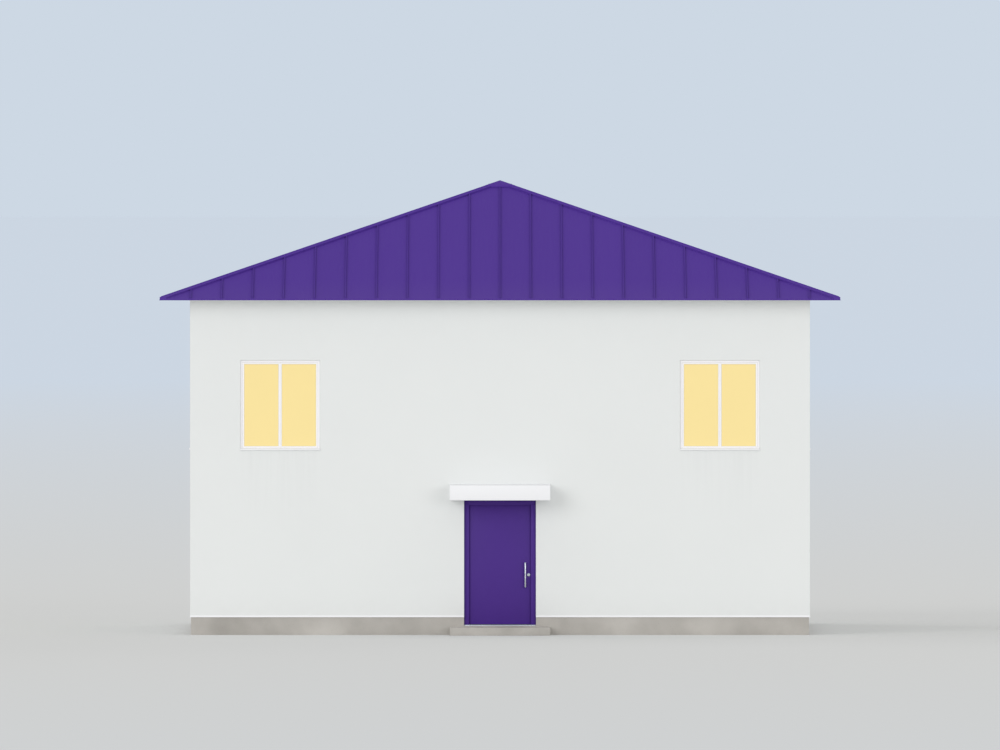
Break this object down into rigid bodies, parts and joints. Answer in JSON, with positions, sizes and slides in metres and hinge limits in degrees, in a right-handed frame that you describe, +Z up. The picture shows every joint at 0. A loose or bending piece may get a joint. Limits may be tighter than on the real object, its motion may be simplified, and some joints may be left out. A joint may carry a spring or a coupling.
{
  "type": "detached house",
  "caption": "Square rendered house under a low pyramid roof of standing-seam sheet, with casement windows, a door canopy and a hinged front door.",
  "frame": {"origin": "centre of the plan at ground level", "axes": "+Z up, the front with its door faces -Y, +X to the right of someone who looks at the front"},
  "size_m": [11.33, 11.43, 7.58],
  "materials": {
    "concrete": "rough",
    "ceiling_board": "matt",
    "wall_render": "matt",
    "roof_sheet": "satin",
    "white_trim": "satin",
    "window_frame": "satin",
    "window_glass": "gloss",
    "timber": "sawn",
    "door_paint": "satin paint",
    "threshold_metal": "satin",
    "door_metal": "satin"
  },
  "bodies": {
    "house": {"ground_floor": "concrete", "upper_floor": "concrete", "ceiling": "ceiling_board", "front_plinth": "concrete", "back_plinth": "concrete", "side_plinths": "concrete", "front_wall_left": "wall_render", "front_wall_right": "wall_render", "front_wall_over_door": "wall_render", "right_wall": "wall_render", "back_wall": "wall_render", "left_wall": "wall_render", "front_roof": "roof_sheet", "right_roof": "roof_sheet", "back_roof": "roof_sheet", "left_roof": "roof_sheet", "hip_caps": "roof_sheet", "peak_cap": "roof_sheet", "front_soffit": "white_trim", "right_soffit": "white_trim", "back_soffit": "white_trim", "left_soffit": "white_trim", "wall_plates": "timber", "hip_rafters": "timber", "peak_boss": "timber", "common_rafters": "timber", "front_window_frames": "window_frame", "right_window_frames": "window_frame", "back_window_frames": "window_frame", "left_window_frames": "window_frame", "casements": "window_frame", "window_panes": "window_glass", "window_sills": "white_trim", "door_jambs": "door_paint", "door_head": "door_paint", "door_threshold": "threshold_metal", "threshold_block": "concrete", "hinge_frame_leaves": "door_metal", "canopy_shell": "white_trim", "canopy_soffit": "white_trim", "doorstep": "concrete"},
    "door": {"door_leaf": "door_paint", "hinge_door_leaves": "door_metal", "door_pulls": "door_metal", "lock_roses": "door_metal"}
  },
  "joints": [
    {"name": "front_door", "type": "hinge", "parent": "house", "child": "door", "pos_m": [-0.536, -4.999, 1.2], "axis": [0, 0, 1], "range_deg": [0, 100]}
  ]
}
